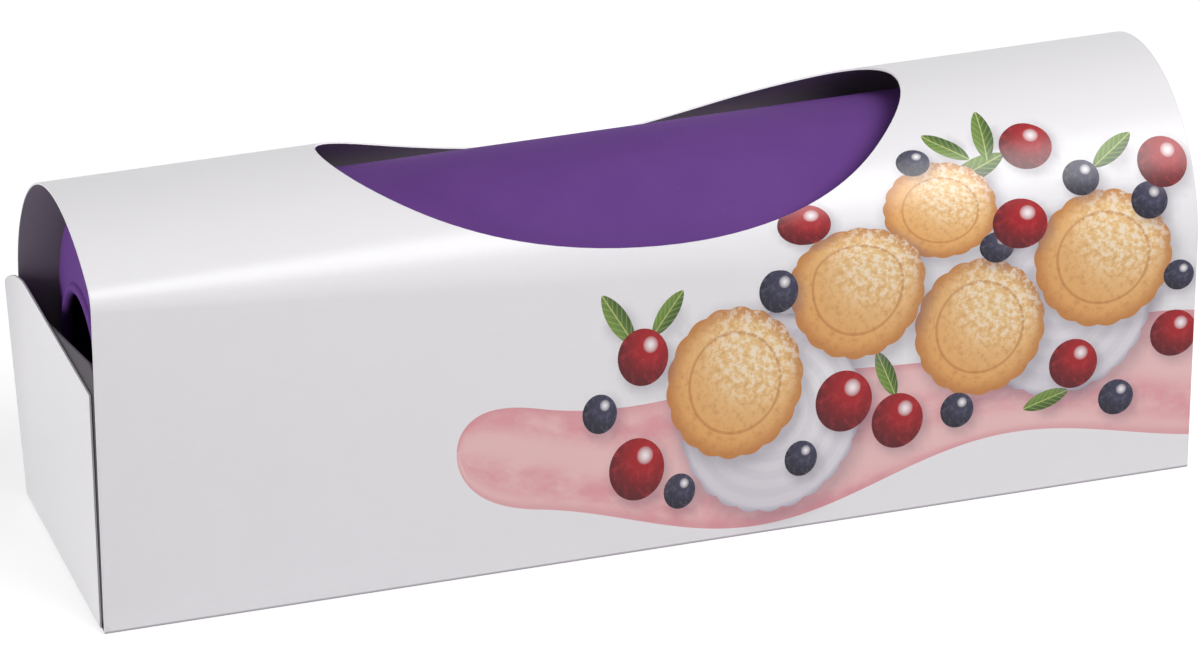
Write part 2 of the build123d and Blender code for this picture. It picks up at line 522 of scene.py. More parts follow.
@dataclass(frozen=True)
class SheetFinish:
    """One face of a bent piece of board: its coated outside, its inside or its cut edge."""

    name: str
    color: Color
    roughness: float
    stock: Stock = Stock()
    worn: bool = False
    printed: bool = False
    print_shade: Color = (0.16, 0.12, 0.16)
    wear_color: Color = (0.68, 0.65, 0.68)
    wear_roughness: float = 0.3
    # Painted shade along the bottom edge, standing for contact shade: its colour, the heights in
    # metres where it starts and where it is full, and its share.
    foot_shade_color: Color = (0.20, 0.17, 0.21)
    foot_shade_reach: Point2 = (0.0009, 0.0002)
    foot_shade_strength: float = 0.7

    def make(self, effects: SharedEffects) -> bpy.types.Material:
        """Build the material.

        Args:
            effects: Shared shader groups.

        Returns:
            The material.
        """
        sheet = MaterialSheet(self.name, effects)
        self.cover(sheet, self.color)
        return sheet.material

    def cover(self, sheet: MaterialSheet, color: Socket) -> None:
        """Give a colour its printed shade, grain, wear and a painted shade along its bottom edge.

        Args:
            sheet: Node sheet of the material.
            color: Colour before them.
        """
        if self.printed:
            color = sheet.coat(color, self.print_shade, sheet.parts(sheet.layer(Layer.SHADE))[0])
        color, rough, bumped = self.stock.texture(sheet, color, self.roughness)
        # worn turns on the edge wear and also the painted shade along the bottom edge.
        if self.worn:
            margins = sheet.parts(sheet.layer(Layer.MARGIN))
            edge, foot = (sheet.math("MULTIPLY", m, MARGIN_UNIT * MM) for m in margins[:2])
            worn = sheet.use(sheet.effects.wear, Distance=edge, Position=sheet.position())["Mask"]
            color = sheet.coat(color, self.wear_color, worn)
            # Painted shade: darkens the lowest millimetre of the sheet, just above the floor, as
            # contact shade; it is full below 0.2 mm.
            foot_shade = sheet.span(foot, *self.foot_shade_reach)
            color = sheet.coat(color, self.foot_shade_color, foot_shade, self.foot_shade_strength)
            rough = sheet.math("MULTIPLY_ADD", worn, self.wear_roughness, rough)
        sheet.dress(color, rough, self.stock.specular, bumped)


@dataclass(frozen=True)
class InkFinish:
    """Printed and varnished motif on the coated outside of the wraparound panel."""

    motif: Motif
    body: Color
    light: Color
    dark: Color
    roughness: float = 0.3
    stock: Stock = Stock(tooth=0.2)

    def make(self, effects: SharedEffects) -> bpy.types.Material:
        """Build the material.

        Args:
            effects: Shared shader groups.

        Returns:
            The material.
        """
        paint = MotifPaint(self, effects)
        painters = {
            Motif.RIBBON: paint.ribbon,
            Motif.DOILY: paint.doily,
            Motif.BISCUIT: paint.biscuit,
            Motif.CHERRY: paint.ball,
            Motif.PEARL: paint.ball,
            Motif.LEAF: paint.leaf,
        }
        face = SheetFinish(paint.material.name, self.body, self.roughness, self.stock, printed=True)
        face.cover(paint, painters[self.motif]())
        return paint.material


class MotifPaint(MaterialSheet):
    """Material sheet of a printed motif, painted in the motif's own coordinates, from -1 to 1.

    A range is where an effect starts and where it is full, and a coat is its share of the colour.
    """

    wash, wash_range = Grain(2.2, 4.0, 0.6), (0.35, 0.75)
    fold_slant, fold_pitch, fold_range = 0.9, 5.0, (-1.0, 1.0)
    band_edge_range, band_edge_coat = (0.8, 1.0), 0.5
    ring_pitch, ring_range, ring_coat = 0.09, (0.03, 0.06), 0.18
    doily_rim_range = (0.93, 1.0)
    crumb, crumb_range, crumb_coat = Grain(9.0, 5.0, 0.7), (0.45, 0.7), 0.45
    browned_range, browned_coat = (0.74, 1.0), 0.8
    groove_radius, groove_width, groove_coat = 0.66, 0.02, 0.5
    sugar, sugar_range, sugar_coat = (0.9, 0.84, 0.76), (0.52, 0.42), 0.55
    sugar_side_range = (0.6, 0.1)
    bloom, bloom_range, bloom_coat = Grain(3.0, 3.0, 0.6), (0.45, 0.7), 0.35
    glint = (0.93, 0.88, 0.9)
    vein_lean, vein_pitch, vein_range, vein_coat = -0.5, 22.0, (0.5, 1.0), 0.35
    leaf_range = (-0.9, 0.9)
    midrib_range = (0.09, 0.03)

    def __init__(self, ink: InkFinish, effects: SharedEffects) -> None:
        """Start the material.

        Args:
            ink: The motif's colours.
            effects: Shared shader groups.
        """
        super().__init__(f"printed_{ink.motif.value}", effects)
        self.ink = ink
        self.place = self.layer(Layer.ARTWORK)

    def ribbon(self) -> Output:
        """Soft watercolour band with paler folds.

        Returns:
            The colour's socket.
        """
        along, across, _ = self.parts(self.place)
        slant = self.math("MULTIPLY", along, self.fold_slant)
        fold = self.math("SINE", self.math("MULTIPLY_ADD", across, self.fold_pitch, slant))
        wash = self.span(self.noise(self.place, self.wash), *self.wash_range)
        edge = self.span(self.math("ABSOLUTE", across), *self.band_edge_range)
        color = self.coat(self.ink.body, self.ink.light, self.span(fold, *self.fold_range))
        color = self.coat(color, self.ink.light, wash)
        return self.coat(color, self.ink.dark, edge, self.band_edge_coat)

    def doily(self) -> Output:
        """Pale disc with a shaded rim and rings.

        Returns:
            The colour's socket.
        """
        disc = self.use(self.effects.roundel, Place=self.place)
        rings = self.math("PINGPONG", disc["Radius"], self.ring_pitch)
        rim = self.span(disc["Radius"], *self.doily_rim_range)
        color = self.coat(self.ink.light, self.ink.body, disc["Shade"])
        color = self.coat(color, self.ink.dark, self.span(rings, *self.ring_range), self.ring_coat)
        return self.coat(color, self.ink.dark, rim)

    def biscuit(self) -> Output:
        """Golden baked round with a browned rim, crumb and a dusting of sugar.

        Returns:
            The colour's socket.
        """
        disc = self.use(self.effects.roundel, Place=self.place)
        crumb = self.noise(self.place, self.crumb)
        dark_crumb = self.span(crumb, *self.crumb_range)
        rim = self.span(disc["Radius"], *self.browned_range)
        groove = self.math("COMPARE", disc["Radius"], self.groove_radius, self.groove_width)
        lit = self.span(disc["Shade"], *self.sugar_side_range)
        sugar = self.math("MULTIPLY", self.span(crumb, *self.sugar_range), lit)
        color = self.coat(self.ink.light, self.ink.body, disc["Shade"])
        color = self.coat(color, self.ink.dark, dark_crumb, self.crumb_coat)
        color = self.coat(color, self.ink.dark, rim, self.browned_coat)
        color = self.coat(color, self.ink.dark, groove, self.groove_coat)
        return self.coat(color, self.sugar, sugar, self.sugar_coat)

    def ball(self) -> Output:
        """Shaded ball with a soft glint.

        Returns:
            The colour's socket.
        """
        disc = self.use(self.effects.roundel, Place=self.place)
        bloom = self.span(self.noise(self.place, self.bloom), *self.bloom_range)
        color = self.coat(self.ink.body, self.ink.dark, disc["Shade"])
        color = self.coat(color, self.ink.light, bloom, self.bloom_coat)
        return self.coat(color, self.glint, disc["Glint"])

    def leaf(self) -> Output:
        """Leaf with a pale midrib and side veins.

        Returns:
            The colour's socket.
        """
        along, across, _ = self.parts(self.place)
        aside = self.math("ABSOLUTE", across)
        course = self.math("MULTIPLY_ADD", aside, self.vein_lean, along)
        veins = self.math("SINE", self.math("MULTIPLY", course, self.vein_pitch))
        color = self.coat(self.ink.dark, self.ink.body, self.span(across, *self.leaf_range))
        color = self.coat(color, self.ink.light, self.span(veins, *self.vein_range), self.vein_coat)
        return self.coat(color, self.ink.light, self.span(aside, *self.midrib_range))


@dataclass(frozen=True)
class SiliconeFinish:
    """Satin moulded silicone with a faint bloom and specks of dust."""

    name: str = "satin_silicone"
    color: Color = (0.134, 0.053, 0.244)
    bloom: Color = (0.170, 0.071, 0.284)
    dust: Color = (0.5, 0.45, 0.6)
    roughness: float = 0.6
    specular: float = 0.025
    clouds: Grain = Grain(22.0, 4.0, 0.6)
    grain: Grain = Grain(3200.0, 2.0, 0.5)
    specks: Grain = Grain(900.0, 1.0, 0.4)
    bloom_range: Point2 = (0.35, 0.7)
    bloom_coat: float = 0.45
    dust_range: Point2 = (0.78, 0.84)
    dust_coat: float = 0.12
    grain_strength: float = 0.25
    grain_depth: float = 0.00004
    gloss_change: float = 0.1

    def make(self, effects: SharedEffects) -> bpy.types.Material:
        """Build the material.

        Args:
            effects: Shared shader groups.

        Returns:
            The material.
        """
        sheet = MaterialSheet(self.name, effects)
        position = sheet.position()
        cloud = sheet.noise(position, self.clouds)
        dust = sheet.span(sheet.noise(position, self.specks), *self.dust_range)
        bloom = sheet.span(cloud, *self.bloom_range)
        color = sheet.coat(self.color, self.bloom, bloom, self.bloom_coat)
        color = sheet.coat(color, self.dust, dust, self.dust_coat)
        change = sheet.math("SUBTRACT", cloud, NOISE_MEAN)
        rough = sheet.math("MULTIPLY_ADD", change, self.gloss_change, self.roughness)
        grain = sheet.noise(position, self.grain)
        bumped = sheet.bump(grain, self.grain_strength, self.grain_depth)
        sheet.dress(color, rough, self.specular, bumped)
        return sheet.material


# ---------------------------------------------------------------------------------------------
# Mesh building
# ---------------------------------------------------------------------------------------------


def link_piece(mesh: bpy.types.Mesh, materials: Sequence[bpy.types.Material]) -> bpy.types.Object:
    """Put a mesh in the scene as a smooth object of its name.

    Args:
        mesh: The mesh.
        materials: Materials of the piece.

    Returns:
        The object.
    """
    mesh.materials.clear()
    for material in materials:
        mesh.materials.append(material)
    mesh.polygons.foreach_set("use_smooth", [True] * len(mesh.polygons))
    mesh.update()
    piece = bpy.data.objects.new(mesh.name, mesh)
    bpy.context.scene.collection.objects.link(piece)
    return piece


def new_piece(
    name: str,
    points: Sequence[Point3],
    faces: Sequence[Face],
    materials: Sequence[bpy.types.Material],
    sides: Sequence[int] = (),
) -> bpy.types.Object:
    """Make a mesh object from points in millimetres.

    Args:
        name: Name of the piece.
        points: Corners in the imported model's frame, in millimetres.
        faces: Corner indices of each face.
        materials: Materials of the piece.
        sides: Place of each face's material among them, or nothing for the first one.

    Returns:
        The object, linked to the scene.
    """
    mesh = bpy.data.meshes.new(name)
    mesh.from_pydata([(x * MM, y * MM, z * MM) for x, y, z in points], [], faces)
    piece = link_piece(mesh, materials)
    if sides:
        mesh.polygons.foreach_set("material_index", sides)
    return piece


def close_sheet(outer: Sequence[Face], count: int) -> tuple[list[Face], list[Face]]:
    """Faces that close a sheet's outer skin. The inner skin's points follow the outer one's.

    Args:
        outer: Faces of the outer skin.
        count: Number of its points.

    Returns:
        Faces of the inner skin, in the outer ones' order, and of the rim between the skins.
    """
    inner = [tuple(i + count for i in face[::-1]) for face in outer]
    ways = {(face[i - 1], face[i]) for face in outer for i in range(len(face))}
    rim = sorted(way for way in ways if way[::-1] not in ways)
    return inner, [(b, a, a + count, b + count) for a, b in rim]


def smooth_line(points: Sequence[Point2], ends: tuple[Point2, Point2], steps: int) -> list[Point2]:
    """Smooth line through points, with given directions at its ends.

    Args:
        points: Points that the line passes through.
        ends: Directions at the first and at the last point.
        steps: Short runs between neighbouring points.

    Returns:
        Points along the line.
    """
    knots = np.array(points, float)
    gaps = np.linalg.norm(np.diff(knots, axis=0), axis=1)
    count = len(knots)
    system = np.eye(count)
    right = np.zeros((count, 2))
    right[0], right[-1] = ends
    for i in range(1, count - 1):
        before, after = gaps[i - 1], gaps[i]
        system[i, i - 1 : i + 2] = after, 2 * (before + after), before
        rise = after / before * (knots[i] - knots[i - 1])
        right[i] = 3 * (rise + before / after * (knots[i + 1] - knots[i]))
    slopes = np.linalg.solve(system, right)
    line = []
    for i, gap in enumerate(gaps):
        for t in np.arange(steps) / steps:
            line.append(
                (1 + 2 * t) * (1 - t) ** 2 * knots[i]
                + t * (1 - t) ** 2 * gap * slopes[i]
                + t * t * (3 - 2 * t) * knots[i + 1]
                + t * t * (t - 1) * gap * slopes[i + 1]
            )
    return [(float(x), float(y)) for x, y in [*line, knots[-1]]]


def inside_outline(points: np.ndarray, outline: Sequence[Point2]) -> np.ndarray:
    """Which points lie inside a closed outline.

    Args:
        points: Points to test, one row each.
        outline: Corners of the outline.

    Returns:
        True for each point inside.
    """
    corners = np.array(outline, float)
    result = np.zeros(len(points), bool)
    near = np.nonzero(((points >= corners.min(0)) & (points <= corners.max(0))).all(1))[0]
    px, py = points[near, 0], points[near, 1]
    inside = np.zeros(len(near), bool)
    for (ax, ay), (bx, by) in zip(corners, np.roll(corners, -1, axis=0)):
        if ay != by:
            crosses = (ay > py) != (by > py)
            inside ^= crosses & (px < (bx - ax) * (py - ay) / (by - ay) + ax)
    result[near] = inside
    return result


def nearest(points: np.ndarray, others: np.ndarray, block: int = 1000) -> np.ndarray:
    """Distance of each point from the nearest of some others.

    Args:
        points: Points, one row each.
        others: Points to measure to.
        block: Points that are worked on at once.

    Returns:
        The distances.
    """
    result = np.empty(len(points))
    for start in range(0, len(points), block):
        part = slice(start, start + block)
        gaps = ((points[part, None, :] - others[None, :, :]) ** 2).sum(2)
        result[part] = np.sqrt(gaps.min(1))
    return result


def subdivide(outline: Sequence[Point2], longest: float) -> list[Point2]:
    """Divide a closed outline's long runs.

    Args:
        outline: Corners of the outline.
        longest: Longest run that stays whole.

    Returns:
        Corners of the divided outline.
    """
    slack = 1e-6
    result: list[Point2] = []
    for (ax, ay), (bx, by) in zip(outline, [*outline[1:], outline[0]]):
        count = max(1, math.ceil(math.hypot(bx - ax, by - ay) / longest - slack))
        for step in range(count):
            result.append((ax + (bx - ax) * step / count, ay + (by - ay) * step / count))
    return result


# ---------------------------------------------------------------------------------------------
# Printed design
# ---------------------------------------------------------------------------------------------


@dataclass(frozen=True)
class PrintedShape:
    """One inlaid motif: its outline on the sheet and the coordinates inside it."""

    motif: Motif
    outline: list[Point2]
    local: Callable[[float, float], Point2]
    middle: Point2 = (0.0, 0.0)
    radius: float = 0.0
    shade: float = 0.42
    drop: Point2 = (1.3, -1.7)
    tuck: float = 0.6
    least_reach: float = 3.0
    reach_growth: float = 0.12

    def cover(self, u: float, v: float) -> float:
        """Strength of the soft printed shade that this motif throws on what lies under it.

        Args:
            u: Place along the sheet.
            v: Place round the sheet.

        Returns:
            The strength, from 0 to 1.
        """
        if not self.radius:
            return 0.0
        away = math.hypot(u - self.middle[0] - self.drop[0], v - self.middle[1] - self.drop[1])
        reach = self.least_reach + self.reach_growth * self.radius
        near = max(0.0, min(1.0, 1.0 - (away - self.radius + self.tuck) / reach))
        return self.shade * near * near


@dataclass
class PrintedDesign:
    """Generic bakery pattern. A motif has its x, its girth from the front foot and its radius.

    A leaf or a biscuit has its turn in radians too. A wave's run is the length of one radian.
    """

    ribbon_start: float = -66.0
    ribbon_overrun: float = 2.0
    ribbon_middle: float = 30.0
    ribbon_wave: float = 6.0
    ribbon_wave_run: float = 38.0
    ribbon_phase: float = 2.4
    ribbon_half_width: float = 18.0
    ribbon_head: float = 26.0
    ribbon_swell: float = 0.22
    ribbon_swell_run: float = 23.0
    ribbon_unit: float = 30.0
    ribbon_least: float = 0.5
    ribbon_steps: int = 90
    doily_edge: tuple[int, float] = (24, 0.03)
    biscuit_edge: tuple[int, float] = (18, 0.035)
    scallop_steps: int = 8
    disc_steps: int = 5
    least_disc_steps: int = 28
    leaf_width: float = 0.36
    leaf_shade: float = 0.3
    leaf_shade_radius: float = 0.5
    doilies: tuple[Point3, ...] = ((36.0, 36.0, 30.0), (132.0, 62.0, 31.0))
    biscuits: tuple[Turned, ...] = (
        (92.0, 98.0, 19.0, 0.2),
        (24.0, 46.0, 22.5, 0.1),
        (105.0, 56.0, 22.0, 0.9),
        (64.0, 72.0, 22.5, 0.5),
        (146.0, 76.0, 23.5, 0.3),
    )
    cherries: tuple[Point3, ...] = (
        (-6.0, 56.0, 8.2),
        (-8.0, 24.0, 9.0),
        (47.0, 98.0, 8.8),
        (60.0, 37.0, 9.4),
        (78.0, 29.0, 8.6),
        (118.0, 90.0, 9.2),
        (137.0, 41.0, 8.2),
        (124.0, 118.0, 8.8),
        (168.0, 106.0, 8.4),
        (171.0, 48.0, 8.0),
    )
    pearls: tuple[Point3, ...] = (
        (-20.0, 41.0, 5.6),
        (6.0, 16.0, 5.2),
        (38.0, 72.0, 6.4),
        (46.0, 21.0, 5.4),
        (98.0, 30.0, 5.6),
        (110.0, 82.0, 5.8),
        (152.0, 28.0, 6.0),
        (162.0, 94.0, 6.2),
        (140.0, 104.0, 6.2),
        (86.0, 118.0, 5.6),
        (172.0, 68.0, 5.2),
    )
    leaves: tuple[Turned, ...] = (
        (-14.0, 67.0, 9.0, 2.2),
        (2.0, 68.0, 8.0, 0.9),
        (106.0, 112.0, 11.0, 0.4),
        (111.0, 124.0, 9.5, 1.5),
        (98.0, 122.0, 9.0, 2.4),
        (152.0, 112.0, 9.0, 0.6),
        (74.0, 44.0, 8.0, 2.0),
        (128.0, 30.0, 8.0, 0.3),
    )

    def shapes(self, end: float) -> list[PrintedShape]:
        """All motifs, the lowest first.

        Args:
            end: Half the sheet's length, where the band stops.

        Returns:
            The motifs in their printing order.
        """
        return [
            self._ribbon(end + self.ribbon_overrun),
            *(self._disc(Motif.DOILY, place, self.doily_edge) for place in self.doilies),
            *(self._leaf(place) for place in self.leaves),
            *(self._disc(Motif.BISCUIT, place, self.biscuit_edge) for place in self.biscuits),
            *(self._disc(Motif.PEARL, place) for place in self.pearls),
            *(self._disc(Motif.CHERRY, place) for place in self.cherries),
        ]

    def _ribbon(self, end: float) -> PrintedShape:
        """Waving band from its rounded start to the sheet's end.

        Args:
            end: Where the band stops.

        Returns:
            The motif.
        """
        start, steps = self.ribbon_start, self.ribbon_steps

        def middle(x: float) -> float:
            """Girth of the band's middle at x."""
            wave = math.sin((x - start) / self.ribbon_wave_run + self.ribbon_phase)
            return self.ribbon_middle + self.ribbon_wave * wave

        def half(x: float) -> float:
            """Half the band's width.

            Args:
                x: Place along the carton.

            Returns:
                The half width.
            """
            run = max(0.0, min(1.0, (x - start) / self.ribbon_head))
            swell = 1 + self.ribbon_swell * math.sin(x / self.ribbon_swell_run)
            return self.ribbon_half_width * math.sqrt(1 - (1 - run) ** 2) * swell

        def local(x: float, s: float) -> Point2:
            """Along and across the band."""
            return (x - start) / self.ribbon_unit, (s - middle(x)) / max(half(x), self.ribbon_least)

        turns = [QUARTER * i / steps for i in range(steps + 1)]
        xs = [start + (end - start) * (1 - math.cos(turn)) for turn in turns]
        lower = [(x, middle(x) - half(x)) for x in xs]
        upper = [(x, middle(x) + half(x)) for x in xs[1:]]
        return PrintedShape(Motif.RIBBON, lower + upper[::-1], local)

    def _disc(
        self, motif: Motif, place: Point3 | Turned, edge: tuple[int, float] = (0, 0.0)
    ) -> PrintedShape:
        """Disc with a plain or a scalloped edge.

        Args:
            motif: What is printed.
            place: Its x, girth and radius, and the turn of its scallops.
            edge: Number of scallops, and their depth as a share of the radius.

        Returns:
            The motif.
        """
        x, s, radius, turn = (*place, 0.0)[:4]
        scallops, depth = edge
        corners = []
        for angle in self._angles(radius, scallops * self.scallop_steps):
            reach = 1 - depth + depth * abs(math.cos(angle * scallops / 2))
            corners.append((reach * math.cos(angle), reach * math.sin(angle)))

        def local(u: float, v: float) -> Point2:
            """Place in the disc, from -1 to 1."""
            return (u - x) / radius, (v - s) / radius

        outline = self._lay_outline(corners, (x, s, radius, turn))
        return PrintedShape(motif, outline, local, (x, s), radius)

    def _leaf(self, place: Turned) -> PrintedShape:
        """Pointed leaf.

        Args:
            place: Its x, girth, half its length and its turn.

        Returns:
            The motif.
        """
        x, s, radius, turn = place
        cos, sin = math.cos(turn), math.sin(turn)
        corners = []
        for angle in self._angles(radius):
            across = self.leaf_width * math.sin(angle) * abs(math.sin(angle)) ** 0.5
            corners.append((math.cos(angle), across))

        def local(u: float, v: float) -> Point2:
            """Along and across the leaf, from -1 to 1."""
            du, dv = (u - x) / radius, (v - s) / radius
            return du * cos + dv * sin, (dv * cos - du * sin) / self.leaf_width

        outline = self._lay_outline(corners, place)
        shaded = radius * self.leaf_shade_radius
        return PrintedShape(Motif.LEAF, outline, local, (x, s), shaded, self.leaf_shade)

    def _angles(self, radius: float, steps: int = 0) -> list[float]:
        """Directions of an outline's corners: the given number, or as many as its radius needs."""
        steps = steps or max(self.least_disc_steps, int(radius * self.disc_steps))
        return [2 * math.pi * i / steps for i in range(steps)]

    @staticmethod
    def _lay_outline(corners: Sequence[Point2], place: Turned) -> list[Point2]:
        """Lay an outline of radius 1 on the sheet.

        Args:
            corners: Corners of the outline.
            place: Its x, girth, radius and turn.

        Returns:
            Corners on the sheet.
        """
        x, s, radius, turn = place
        cos, sin = math.cos(turn), math.sin(turn)
        turned = ((along * cos - up * sin, along * sin + up * cos) for along, up in corners)
        return [(x + radius * along, s + radius * up) for along, up in turned]


# ---------------------------------------------------------------------------------------------
# Sub-assemblies
# ---------------------------------------------------------------------------------------------


@dataclass(frozen=True)
class FlatMesh:
    """Triangles of a flat piece, each one's top motif or -1, and each place's edge distance.

    The triangles all turn the same way.
    """

    places: np.ndarray
    triangles: np.ndarray
    owners: np.ndarray
    margins: np.ndarray


def mesh_flat(
    outline: Sequence[Point2],
    holes: Sequence[Sequence[Point2]],
    inner: np.ndarray,
    shapes: Sequence[PrintedShape],
    grid: float,
) -> FlatMesh:
    """Mesh a flat piece, with edges along its holes and its print.

    Args:
        outline: Its outline.
        holes: Outlines of its holes.
        inner: Places inside it that the mesh passes through.
        shapes: Its printed motifs, the lowest first.
        grid: Spacing of the inner places.

    Returns:
        The mesh.
    """
    clearance, merge, rim_step, whole = 0.45 * grid, 1e-4, 0.5, 0
    rims = [list(outline), *(list(hole) for hole in holes)]
    loops = rims + [shape.outline for shape in shapes]
    fixed = np.array([place for loop in loops for place in loop], float)
    clear = inner[nearest(inner, fixed) > clearance]
    edges: list[tuple[int, int]] = []
    for loop in loops:
        first, count = len(edges), len(loop)
        edges += [(first + i, first + (i + 1) % count) for i in range(count)]
    coords = [Vector(place) for place in [*fixed.tolist(), *clear.tolist()]]
    found, _, faces, *_ = delaunay_2d_cdt(coords, edges, [], whole, merge)
    places = np.array([tuple(place) for place in found])
    triangles = np.array([face for face in faces if len(face) == 3])
    middles = places[triangles].mean(1)
    kept = inside_outline(middles, outline)
    for hole in holes:
        kept &= ~inside_outline(middles, hole)
    triangles, middles = triangles[kept], middles[kept]
    owners = np.full(len(triangles), -1)
    for index, shape in enumerate(shapes):
        owners[inside_outline(middles, shape.outline)] = index
    used, corners = np.unique(triangles, return_inverse=True)
    places = places[used]
    rim_places = np.array([place for rim in rims for place in subdivide(rim, rim_step)])
    return FlatMesh(places, corners.reshape(-1, 3), owners, nearest(places, rim_places))


class BentBoard:
    """Piece of board that is cut flat, printed and then bent."""

    board: float

    def point(self, u: float, v: float, inset: float = 0.0) -> Point3:
        """Point of the bent piece in millimetres, at a flat place and a depth below its face."""
        raise NotImplementedError

    def normal(self, u: float, v: float) -> Vector:
        """Direction out of the outer face at a flat place."""
        raise NotImplementedError

    def bend(
        self,
        name: str,
        flat: FlatMesh,
        shapes: Sequence[PrintedShape],
        finishes: Sequence[bpy.types.Material],
    ) -> bpy.types.Object:
        """Bend the flat triangles into two faces and close them with cut edges.

        Args:
            name: Name of the piece.
            flat: The flat piece.
            shapes: Its printed motifs.
            finishes: Materials of its sides and inks.

        Returns:
            The piece.
        """
        spots = flat.places.tolist()
        points = [self.point(u, v, inset) for inset in (0.0, self.board) for u, v in spots]
        normals = [self.normal(u, v) for u, v in spots]
        a, b, c = (Vector(points[corner]) for corner in flat.triangles[0])
        outwards = (b - a).cross(c - a).dot(normals[flat.triangles[0][0]]) > 0
        outer = [tuple(face if outwards else face[::-1]) for face in flat.triangles.tolist()]
        inner, rim = close_sheet(outer, len(spots))
        inks = {motif: Side.FIRST_INK + place for place, motif in enumerate(Motif)}
        sides = [inks[shapes[owner].motif] if owner >= 0 else Side.COATED for owner in flat.owners]
        sides += [Side.INSIDE] * len(inner) + [Side.CUT] * len(rim)
        piece = new_piece(name, points, outer + inner + rim, finishes, sides)
        self._lay_coordinates(piece.data, flat, shapes)
        directions: list[Vector] = []
        for polygon in piece.data.polygons:
            for vertex in polygon.vertices:
                direction = normals[vertex % len(spots)]
                if polygon.material_index == Side.CUT:
                    direction = polygon.normal.copy()
                elif polygon.material_index == Side.INSIDE:
                    direction = -direction
                directions.append(direction)
        piece.data.normals_split_custom_set(directions)
        return piece

    def _lay_coordinates(
        self, mesh: bpy.types.Mesh, flat: FlatMesh, shapes: Sequence[PrintedShape]
    ) -> None:
        """Fill the layers of printed shade, of edge distance and height, and of the artwork.

        Args:
            mesh: Mesh of the bent piece.
            flat: The flat piece.
            shapes: Its printed motifs.
        """
        spots = flat.places.tolist()
        heights = [self.point(u, v)[2] for u, v in spots]
        covers = np.array([[shape.cover(u, v) for shape in shapes] for u, v in spots])
        others = [len(shapes)] * (len(mesh.polygons) - len(flat.owners))
        layers: dict[Layer, list[float]] = {layer: [] for layer in Layer}
        for owner, polygon in zip([*flat.owners, *others], mesh.polygons):
            printed = 0 <= owner < len(shapes)
            for vertex in polygon.vertices:
                place = vertex % len(spots)
                shade = float(1 - np.prod(1 - covers[place][owner + 1 :]))
                margin = float(flat.margins[place])
                layers[Layer.SHADE] += [shade, 0.0]
                layers[Layer.MARGIN] += [margin / MARGIN_UNIT, heights[place] / MARGIN_UNIT]
                layers[Layer.ARTWORK] += shapes[owner].local(*spots[place]) if printed else (0, 0)
        for layer, values in layers.items():
            mesh.uv_layers.new(name=layer.value).data.foreach_set("uv", values)


@dataclass(frozen=True)
class Haunch:
    """One side of an end section: a wall-side arc and a crown arc above an upright wall."""

    spring: float
    wall_radius: float
    crown_radius: float
    meeting_angle: float


@dataclass(frozen=True)
class EndSection:
    """Outer line of one end: two upright walls and two haunches that meet at the crown."""

    front: Haunch
    rear: Haunch
    crown: Point2
    half_depth: float

    def point(self, part: int, share: float, inset: float) -> Point2:
        """Point of the section.

        Args:
            part: Front wall, front haunch's arcs, rear haunch's arcs or rear wall, from 0 to 5.
            share: How far along the part.
            inset: Depth below the outer face.

        Returns:
            y and z of the point.
        """
        front, rear, half = self.front, self.rear, self.half_depth
        y, z = self.crown
        if part == 0:
            return inset - half, share * front.spring
        if part == 5:
            return half - inset, (1 - share) * rear.spring
        front_meeting = math.pi - front.meeting_angle
        (cy, cz), radius, start, stop = (
            ((front.wall_radius - half, front.spring), front.wall_radius, math.pi, front_meeting),
            ((y, z - front.crown_radius), front.crown_radius, front_meeting, QUARTER),
            ((y, z - rear.crown_radius), rear.crown_radius, QUARTER, rear.meeting_angle),
            ((half - rear.wall_radius, rear.spring), rear.wall_radius, rear.meeting_angle, 0.0),
        )[part - 1]
        angle = start + (stop - start) * share
        return cy + (radius - inset) * math.cos(angle), cz + (radius - inset) * math.sin(angle)


